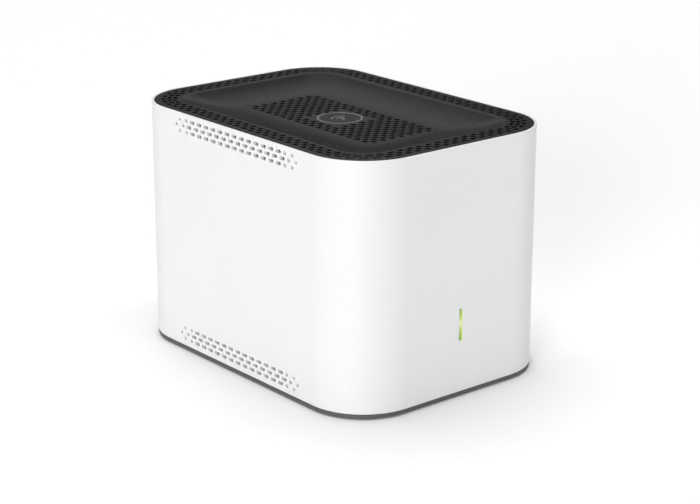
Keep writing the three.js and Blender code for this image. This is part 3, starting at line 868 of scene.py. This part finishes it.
def makeCover():
    outlines = [
        [(x, y, topZ + z) for x, y in bodyOutline(inset, dishRadius(inset), 20)]
        for inset, z in coverRings()
    ]
    top = solidPiece("vented_cover", lambda work: skinLoops(work, outlines))
    slots = makeSlotPoints("coverSlots", borderSlots() + floorSlots(), lambda place: (0, 0, 1))
    cutVents(top, slots, None, coverBlack, 3.4 * mm, bodyShape["coverVentWidth"])
    showAs(top, coverBlack, "top_cover")


makeCover()
print("top cover ready")


# Emblem: a plain ring with signal arcs over a dot.

emblem = {
    "ringRadius": 10.6 * mm,
    "line": 0.85 * mm,
    "arcs": (3.0 * mm, 5.6 * mm),
    "arcHalfAngle": 48,
    "dot": 0.95 * mm,
    "lift": 0.12 * mm,
    "middleDrop": 2.6 * mm,   # the dot sits this far below the ring's middle
}


def arcBand(work, radius, line, centre, fromAngle, toAngle, steps, bottom, top):
    sections = []
    whole = toAngle - fromAngle > 359
    for i in range(steps + (0 if whole else 1)):
        angle = math.radians(fromAngle + (toAngle - fromAngle) * i / steps)
        inner, outer = radius - line / 2, radius + line / 2
        corners = ((inner, bottom), (outer, bottom), (outer, top), (inner, top))
        sections.append([(centre[0] + r * math.cos(angle), centre[1] + r * math.sin(angle), z)
                         for r, z in corners])
    skinLoops(work, sections, closed=whole)


def emblemShape(work):
    floorTop = topZ - cover["dish"]
    bottom, top = floorTop - 0.1 * mm, floorTop + emblem["lift"]
    arcBand(work, emblem["ringRadius"], emblem["line"], (0, 0), 0, 360, 72, bottom, top)
    centre = (0, -emblem["middleDrop"])
    for radius in emblem["arcs"]:
        half = emblem["arcHalfAngle"]
        arcBand(work, radius, emblem["line"], centre, 90 - half, 90 + half, 20, bottom, top)
    prism(work, circle(emblem["dot"], centre, 24), bottom, top)


def makeEmblem():
    mark = solidPiece("emblem_mark", emblemShape)
    showAs(mark, emblemGrey, "emblem_disc")


makeEmblem()


# Base.

base = {
    "inset": 0.13 * mm,
    "bottom": 0.5 * mm,
    "top": 2.34 * mm,
    "edge": 0.45 * mm,
    "lipInset": 2.3 * mm,
    "lipWall": 1.6 * mm,
    "lipTop": 4.6 * mm,
    "footSpot": (40 * mm, 62 * mm),
    "footRadius": 7 * mm,
    "screwSpot": (47.7 * mm, 71.7 * mm),
    "boardSpot": (42.5 * mm, 50 * mm),
    "boardRest": 13.7 * mm,
    "label": (52 * mm, 30 * mm),
    "airSlots": (5, 27 * mm, 4.5 * mm, 44 * mm, 2 * mm),   # per side, first, pitch, length, width
}


def fourCorners(spot):
    return [(sx * spot[0], sy * spot[1]) for sx in (-1, 1) for sy in (-1, 1)]


# A shape turned about its axis, as for a bar, from a profile of (radius, place, fillet).
def turnedPost(work, profile, centre, steps=48, upright=False):
    places = roundProfile(profile, closed=False)
    bar(work, [(circle(radius, centre, steps), place) for radius, place in places], upright)


def baseShape(work):
    profile = roundProfile([
        (20 * mm, base["bottom"], 0), (base["inset"], base["bottom"], base["edge"]),
        (base["inset"], base["top"], 0.1 * mm), (20 * mm, base["top"], 0),
    ], closed=False)
    skinLoops(work, planRings(profile))


def baseAdded(work):
    low, high = base["top"] - 0.5 * mm, base["lipTop"]
    outer, inner = base["lipInset"], base["lipInset"] + base["lipWall"]
    profile = roundProfile([
        (outer, low, 0), (outer, high, 0.3 * mm), (inner, high, 0.3 * mm), (inner, low, 0),
    ], closed=True)
    skinLoops(work, planRings(profile), closed=True)
    for spot in fourCorners(base["screwSpot"]):
        turnedPost(work, [
            (5 * mm, low, 0), (5 * mm, 5.5 * mm, 0.3 * mm), (3 * mm, 5.5 * mm, 0),
        ], spot)
    for spot in fourCorners(base["boardSpot"]):
        rest = base["boardRest"]
        turnedPost(work, [
            (4.2 * mm, low, 0), (4.2 * mm, 3 * mm, 0), (3.5 * mm, 5 * mm, 0.5 * mm),
            (3.5 * mm, rest, 0.3 * mm), (2 * mm, rest, 0),
        ], spot)


def baseCuts(work):
    under = base["bottom"] - 0.3 * mm
    face = base["bottom"]
    flare = 0.3 * mm
    for spot in fourCorners(base["footSpot"]):
        seat = base["footRadius"] + 0.3 * mm
        turnedPost(work, [
            (seat + 2 * flare, under, 0), (seat, face + flare, 0), (seat, 1.6 * mm, 0),
        ], spot, 64)
    for spot in fourCorners(base["screwSpot"]):
        turnedPost(work, [
            (3.4 * mm + 2 * flare, under, 0), (3.4 * mm, face + flare, 0), (3.4 * mm, 3.2 * mm, 0),
            (1.8 * mm, 3.2 * mm, 0), (1.8 * mm, 8 * mm, 0),
        ], spot)
    for spot in fourCorners(base["boardSpot"]):
        turnedPost(work, [(1.5 * mm, 5 * mm, 0), (1.5 * mm, 15 * mm, 0)], spot, 24)
    wide, deep = base["label"]
    bar(work, (
        (roundedBox(wide + 1.4 * mm, deep + 1.4 * mm, 2.6 * mm), under),
        (roundedBox(wide + 0.6 * mm, deep + 0.6 * mm, 2.2 * mm), face + 0.2 * mm),
        (roundedBox(wide + 0.6 * mm, deep + 0.6 * mm, 2.2 * mm), 1 * mm),
    ))


def makeBase():
    pan = carve("base_pan", baseShape, baseAdded, None, baseGrey)
    count, first, pitch, length, width = base["airSlots"]
    slots = [((0, side * (first + i * pitch), base["bottom"]), (1, 0, 0), length)
             for side in (-1, 1) for i in range(count)]
    spots = makeSlotPoints("baseSlots", slots, lambda place: (0, 0, -1))
    others = solidPiece("baseCuts", baseCuts)
    cutVents(pan, spots, others, baseGrey, 3 * mm, width)
    showAs(pan, baseGrey, "base_cover")


# A soft pad with a ring groove underneath.
def footShape(work):
    radius = base["footRadius"]
    turnedPost(work, [
        (3.4 * mm, 0.12 * mm, 0), (3.6 * mm, 0, 0.1 * mm), (4.1 * mm, 0, 0.1 * mm),
        (4.4 * mm, 0.2 * mm, 0.1 * mm), (4.9 * mm, 0.2 * mm, 0.1 * mm), (5.2 * mm, 0, 0.1 * mm),
        (radius - 0.2 * mm, 0, 0.3 * mm), (radius, 1.3 * mm, 0.1 * mm), (3 * mm, 1.3 * mm, 0),
    ], (0, 0), 64)


# A copy of the master at each of four nodes, standing on the node's lowest plane.
def makeFourCopies(master, pieceName, nodeName, material):
    for number in range(1, 5):
        node = f"{nodeName}_{number}"
        low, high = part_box(node)
        spot = ((low.x + high.x) / 2, (low.y + high.y) / 2, low.z)
        showAs(scatter(f"{pieceName}_{number}", master, [spot], material), material, node)
    bpy.data.objects.remove(master)


def makeFeet():
    makeFourCopies(solidPiece("footPad", footShape), "rubber_foot", "foot", rubberBlack)


# A pan-head screw seen from below, with a cross recess.
screw = {
    "head": 3 * mm,
    "headHeight": 2 * mm,
    "shank": 1.35 * mm,
    "shankLength": 7.6 * mm,
    "tip": 1.2 * mm,
    "thread": (8, 0.8 * mm, 0.9 * mm, 0.3 * mm),    # turns, pitch, start below the head, depth
    "cross": 1.7 * mm,
    "blade": 0.62 * mm,
}


def screwShape(work):
    head, neck, shank = screw["head"], screw["headHeight"], screw["shank"]
    turns, pitch, start, depth = screw["thread"]
    end = neck + screw["shankLength"]
    thread = []
    for turn in range(turns):
        z = neck + start + turn * pitch
        thread += [(shank, z, 0), (shank + depth, z + pitch / 4, 0), (shank, z + pitch / 2, 0)]
    turnedPost(work, [
        (head * 0.4, 0, 0), (head * 0.72, 0.08 * mm, 0.2 * mm), (head, 0.75 * mm, 0.4 * mm),
        (head, neck, 0.15 * mm), (shank, neck, 0.1 * mm), *thread,
        (shank, end, 0), (0.4 * mm, end + screw["tip"], 0),
    ], (0, 0), 40)


def crossCut(work):
    reach, blade = screw["cross"], screw["blade"]

    def cross(share, width):
        r, w = reach * share, blade * width
        return [(r, w), (w, w), (w, r), (-w, r), (-w, w), (-r, w),
                (-r, -w), (-w, -w), (-w, -r), (w, -r), (w, -w), (r, -w)]

    bar(work, ((cross(1.02, 1), -0.5 * mm), (cross(1, 1), 0.1 * mm), (cross(0.5, 0.6), 1.3 * mm)))


def makeBaseScrews():
    master = carve("screwMaster", screwShape, None, crossCut, platedSteel)
    makeFourCopies(master, "cross_screw", "base_screw", platedSteel)


def makeLabel():
    wide, deep = base["label"]
    low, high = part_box("rating_label")
    film = solidPiece("blank_label", lambda work: bar(work, (
        (roundedBox(wide - 0.1 * mm, deep - 0.1 * mm, 2 * mm), low.z),
        (roundedBox(wide, deep, 2 * mm), low.z + 0.06 * mm),
        (roundedBox(wide, deep, 2 * mm), high.z),
    )))
    showAs(film, printedFilm, "rating_label")


makeBase()
makeFeet()
makeBaseScrews()
makeLabel()
print("base ready")


# Status light.

def lightShape(work):
    front = -halfY
    bar(work, (
        (lightOutline(-0.12 * mm), front), (lightOutline(-0.03 * mm), front + 0.04 * mm),
        (lightOutline(0), front + 0.12 * mm), (lightOutline(0), front + 2.2 * mm),
    ), upright=True)


def makeLightBar():
    glow = solidPiece("light_bar", lightShape)
    showAs(glow, litAcrylic, "light_guide", sharpAngle=50)


makeLightBar()


# Rear bay with its panel.

panelBack, panelFace = 77 * mm, bay["face"]


# Where the body's rear skin is at x, moved in by an inset.
def rearSkin(x, inset):
    over = max(abs(x) - flatX, 0)
    return flatY + math.sqrt((bodyShape["cornerRadius"] - inset) ** 2 - over ** 2)


# The same outline with long straight runs divided, so that it can follow the curved skin.
def divided(outline, longest=2.5 * mm):
    points = []
    for start, end in zip(outline, outline[1:] + outline[:1]):
        count = max(1, math.ceil(math.dist(start, end) / longest))
        points += [tuple(Vector(start).lerp(Vector(end), i / count)) for i in range(count)]
    return points


def trayOutline(grow):
    return divided(roundedBox(
        2 * (bay["halfWidth"] + grow), bay["top"] - bay["bottom"] + 2 * grow,
        bay["corner"] + grow, (0, (bay["top"] + bay["bottom"]) / 2)))


def trayShape(work):
    skin = bodyShape["wall"] + 0.3 * mm
    grow = bay["wall"]
    # (growth of the outline, place); a place under 10 mm is an inset from the body's curved
    # rear skin, any other is a flat plane across the body
    rings = (
        (0, panelBack), (0, panelFace), (2.6 * mm, panelFace), (2.6 * mm, skin), (0, skin),
        (0, 0.6 * mm), (-0.1 * mm, 0.35 * mm), (-0.35 * mm, 0.25 * mm),
        (-grow + 0.35 * mm, 0.25 * mm), (-grow + 0.1 * mm, 0.35 * mm), (-grow, 0.6 * mm),
        (-grow, panelFace + 0.8 * mm),
        (-grow - 0.12 * mm, panelFace + 0.35 * mm), (-grow - 0.35 * mm, panelFace + 0.12 * mm),
        (-grow - 0.8 * mm, panelFace),
    )
    skinLoops(work, [
        [(x, rearSkin(x, along) if along < 10 * mm else along, z) for x, z in trayOutline(growth)]
        for growth, along in rings
    ])


# A hole through the panel with a softened front edge.
def panelHole(work, outlineAt, flare=0.25 * mm):
    bar(work, (
        (outlineAt(0), panelBack - 1 * mm), (outlineAt(0), panelFace - flare),
        (outlineAt(flare), panelFace), (outlineAt(flare), panelFace + 0.2 * mm),
    ), upright=True)


sockets = {
    "names": {"lan_jack_3": -32.25 * mm, "lan_jack_2": -14.75 * mm, "lan_jack_1": 2.75 * mm,
              "wan_jack": 20.25 * mm},
    "width": 15.9 * mm,
    "height": 13.4 * mm,
    "length": 21 * mm,
    "base": 15.9 * mm,
    "shieldWall": 0.35 * mm,
    "mouth": (5.95 * mm, 3.6 * mm, 11 * mm),     # half width, bottom and top above the base
    "latch": ((3.1 * mm, 2.2 * mm), (2 * mm, 1.2 * mm)),
    "mouthDepth": 14 * mm,
    "contacts": (8, 1.02 * mm),
    "lamp": (5.75 * mm, 1.85 * mm, 2.6 * mm, 1.5 * mm),   # across, up, width, height
}
buttonRow = 38.5 * mm
boardPosts = {
    "side": 15 * mm,
    "radius": 3 * mm,
    "pilot": 1.5 * mm,
    "front": 61.5 * mm,
    "pilotFront": 60 * mm,
    "pilotEnd": 71 * mm,
}
inlet = {
    "x": 35.7 * mm,
    "z": 21.4 * mm,
    "body": (9 * mm, 11 * mm),       # width and height of the block behind the panel
    "back": 65 * mm,
    "boreBack": 67.5 * mm,
    "nose": 4 * mm,
    "bore": 3.1 * mm,
    "pin": 1.05 * mm,
    "pinTip": 77.5 * mm,
    "proud": 0.15 * mm,              # the nose stands this far out of the panel
}
inletPlace = (inlet["x"], inlet["z"])
buttons = {
    # name: (x, cap radius, front, end of the stem, body)
    "power": (30 * mm, 4.5 * mm, 81.5 * mm, 71.2 * mm, "power_push"),
    "pairing": (0, 3 * mm, 80 * mm, 67.8 * mm, "pairing_push"),
}
resetX = -30 * mm


def panelCuts(work):
    high = sockets["height"] / 2
    for x in sockets["names"].values():
        panelHole(work, lambda g, x=x: roundedBox(
            sockets["width"] + 0.3 * mm + 2 * g, sockets["height"] + 0.3 * mm + 2 * g,
            0.5 * mm + g, (x, sockets["base"] + high), 4))
    panelHole(work, lambda g: circle(inlet["nose"] + 0.15 * mm + g, inletPlace))
    for x, radius in (button[:2] for button in buttons.values()):
        panelHole(work, lambda g, x=x, radius=radius: circle(
            radius + 0.25 * mm + g, (x, buttonRow), 64))
    panelHole(work, lambda g: circle(0.8 * mm + g, (resetX, buttonRow), 24))
    for side in (-1, 1):
        pilot = circle(boardPosts["pilot"], (side * boardPosts["side"], buttonRow), 24)
        prism(work, pilot, boardPosts["pilotFront"], boardPosts["pilotEnd"], upright=True)


# Round posts that hold the button board.
def panelAdded(work):
    for side in (-1, 1):
        post = circle(boardPosts["radius"], (side * boardPosts["side"], buttonRow), 32)
        prism(work, post, boardPosts["front"], panelBack + 0.5 * mm, upright=True)


def makePanel():
    tray = carve("port_bay", trayShape, panelAdded, panelCuts, bayBlack)
    showAs(tray, bayBlack, "rear_panel")


# Sockets: a plated shield, a moulded insert, eight contacts and two lamp windows each.

def socketOutline(inset, radius=0.5 * mm):
    return roundedBox(
        sockets["width"] - 2 * inset, sockets["height"] - 2 * inset, radius,
        (0, sockets["base"] + sockets["height"] / 2), 4)


def shieldShape(work):
    wall, back = sockets["shieldWall"], panelFace - sockets["length"]
    profile = roundProfile([
        (0, back, 0), (0, panelFace + 0.2 * mm, 0.14 * mm),
        (wall, panelFace + 0.2 * mm, 0.14 * mm), (wall, back, 0),
    ], closed=True)
    skinLoops(work, [
        [(x, y, z) for x, z in socketOutline(inset, 0.5 * mm - inset * 0.6)] for inset, y in profile
    ], closed=True)


def insertShape(work):
    inset = sockets["shieldWall"] + 0.02 * mm
    front, back = panelFace - 0.1 * mm, panelFace - sockets["length"] + 0.4 * mm
    bar(work, (
        (socketOutline(inset, 0.3 * mm), back), (socketOutline(inset, 0.3 * mm), front - 0.15 * mm),
        (socketOutline(inset + 0.15 * mm, 0.2 * mm), front),
    ), upright=True)


# The mouth with its two-step latch groove, grown outwards by g.
def mouthOutline(g):
    half, bottom, top = sockets["mouth"]
    (wide, shallow), (narrow, deep) = sockets["latch"]
    right = [(half, top), (half, bottom), (wide, bottom), (wide, shallow),
             (narrow, shallow), (narrow, deep)]
    around = [(-x, z) for x, z in right] + right[::-1]
    lift = sockets["base"]
    return [(x + math.copysign(g, x), lift + z + (g if z == top else -g)) for x, z in around]


def insertCuts(work):
    front = panelFace - 0.1 * mm
    bar(work, (
        (mouthOutline(0), front - sockets["mouthDepth"]), (mouthOutline(0), front - 0.35 * mm),
        (mouthOutline(0.3 * mm), front), (mouthOutline(0.3 * mm), front + 1 * mm),
    ), upright=True)
    across, up, wide, high = sockets["lamp"]
    for side in (-1, 1):
        window = roundedBox(wide, high, 0.25 * mm, (side * across, sockets["base"] + up), 3)
        prism(work, window, front - 3 * mm, front + 1 * mm, upright=True)


def lampShape(work):
    across, up, wide, high = sockets["lamp"]
    front = panelFace - 0.12 * mm

    def pane(side, inset):
        return roundedBox(wide - 2 * inset, high - 2 * inset, 0.22 * mm,
                          (side * across, sockets["base"] + up), 3)

    for side in (-1, 1):
        bar(work, (
            (pane(side, 0.03 * mm), front - 2.8 * mm), (pane(side, 0.03 * mm), front - 0.1 * mm),
            (pane(side, 0.13 * mm), front),
        ), upright=True)


# One springy contact: a flat wire that comes down from the mouth's ceiling and runs back.
def contactShape(work):
    half, thick = 0.2 * mm, 0.22 * mm
    top = sockets["base"] + sockets["mouth"][2]
    # millimetres behind the panel's face and below the ceiling
    path = [(-3.4, -0.16), (-4.2, -0.3), (-5.2, -1.0), (-10.4, -3.5), (-11.2, -3.7), (-12.0, -3.5),
            (-13.6, -2.6)]
    spots = [Vector((panelFace + y * mm, top + z * mm)) for y, z in path]
    rings = []
    for i, spot in enumerate(spots):
        along = (spots[min(i + 1, len(spots) - 1)] - spots[max(i - 1, 0)]).normalized()
        side = Vector((-along.y, along.x)) * thick / 2
        corners = ((-half, -1), (half, -1), (half, 1), (-half, 1))
        rings.append([(x, *(spot + side * s)) for x, s in corners])
    skinLoops(work, rings)


def makeSockets():
    shield = solidPiece("shieldMaster", shieldShape)
    inserts = {finish.name: carve("insertMaster", insertShape, None, insertCuts, finish)
               for finish in (bayBlack, wanYellow)}
    contact = solidPiece("contactMaster", contactShape)
    lamps = solidPiece("lampMaster", lampShape)
    count, pitch = sockets["contacts"]
    for node, x in sockets["names"].items():
        finish = wanYellow if node == "wan_jack" else bayBlack
        plastic = "wan_plastic" if node == "wan_jack" else "black_plastic"
        row = [(x + (i - (count - 1) / 2) * pitch, 0, 0) for i in range(count)]
        for label, master, spots, material, slotName in (
            ("shield", shield, [(x, 0, 0)], platedSteel, "plated_steel"),
            ("insert", inserts[finish.name], [(x, 0, 0)], finish, plastic),
            ("contacts", contact, row, contactGold, "plated_steel"),
            ("lamps", lamps, [(x, 0, 0)], lampWindow, "light_pipe"),
        ):
            showAs(scatter(f"{node}_{label}", master, spots, material), material, node)
    for master in (shield, contact, lamps, *inserts.values()):
        bpy.data.objects.remove(master)


# Power inlet.

def inletBody(work):
    outline = roundedBox(*inlet["body"], 0.6 * mm, inletPlace, 4)
    prism(work, outline, inlet["back"], panelBack - 0.3 * mm, upright=True)


def inletNose(work):
    nose, front = inlet["nose"], panelFace + inlet["proud"]
    turnedPost(work, [
        (nose, inlet["back"] + 5 * mm, 0), (nose, front, 0.3 * mm), (1 * mm, front, 0),
    ], inletPlace, 64, upright=True)


def inletBore(work):
    bore, front = inlet["bore"], panelFace + inlet["proud"]
    turnedPost(work, [
        (bore, inlet["boreBack"], 0), (bore, front - 0.4 * mm, 0), (bore + 0.4 * mm, front, 0),
        (bore + 0.4 * mm, front + 1 * mm, 0),
    ], inletPlace, 64, upright=True)


def inletPin(work):
    pin, tip = inlet["pin"], inlet["pinTip"]
    turnedPost(work, [
        (pin, inlet["boreBack"] + 0.1 * mm, 0), (pin, tip, 0.5 * mm), (0.2 * mm, tip, 0),
    ], inletPlace, 32, upright=True)


def makeInlet():
    body = carve("power_inlet_body", inletBody, inletNose, inletBore, bayBlack)
    showAs(body, bayBlack, "power_inlet")
    pin = solidPiece("power_inlet_pin", inletPin)
    showAs(pin, platedSteel, "power_inlet")


# Buttons: a dished cap with a retaining flange and a stem.

buttonCap = {
    "stem": 1.8 * mm, "flange": 1.2 * mm, "flangeBack": 75.2 * mm, "flangeFront": 76.7 * mm,
}


def makeButton(name, x, radius, front, stemEnd, body):
    stem, back, face = buttonCap["stem"], buttonCap["flangeBack"], buttonCap["flangeFront"]
    wide = radius + buttonCap["flange"]

    def cap(work):
        turnedPost(work, [
            (stem, stemEnd, 0), (stem, back, 0), (wide, back, 0.2 * mm),
            (wide, face, 0.2 * mm), (radius, face, 0), (radius, front, 0.45 * mm),
            (radius - 0.9 * mm, front, 0.5 * mm), (radius * 0.5, front - 0.22 * mm, 1.5 * mm),
            (radius * 0.1, front - 0.26 * mm, 0),
        ], (x, buttonRow), 64, upright=True)

    piece = solidPiece(f"{name}_button_cap", cap)
    showAs(piece, buttonGrey, f"{name}_button", body)


makePanel()
makeSockets()
makeInlet()
for name, values in buttons.items():
    makeButton(name, *values)
print("rear bay ready")


# Finishes for the carried-over pieces.

nodeFinishes = {
    "circuit_board": boardMask, "chip_plastic": chipEpoxy, "thermal_pad": softPad,
    "aluminium": bareAluminium, "plated_steel": platedSteel, "wan_plastic": wanYellow,
    "black_plastic": cableBlack, "button_plastic": buttonGrey, "plunger_plastic": plungerWhite,
    "rubber": rubberBlack, "frame_plastic": framePlastic, "rear_plastic": bayBlack,
    "label_film": printedFilm, "led": litAcrylic, "white_shell": shellWhite,
    "dark_cover": coverBlack, "grey_base": baseGrey, "emblem_ink": emblemGrey,
    "light_pipe": litAcrylic,
}
for row in frame["record"]["subparts"]:
    node = frame["nodes"][row["node"]]
    node.data.materials.clear()
    node.data.materials.append(nodeFinishes[row["material_slot"]])
print("carried-over pieces finished")
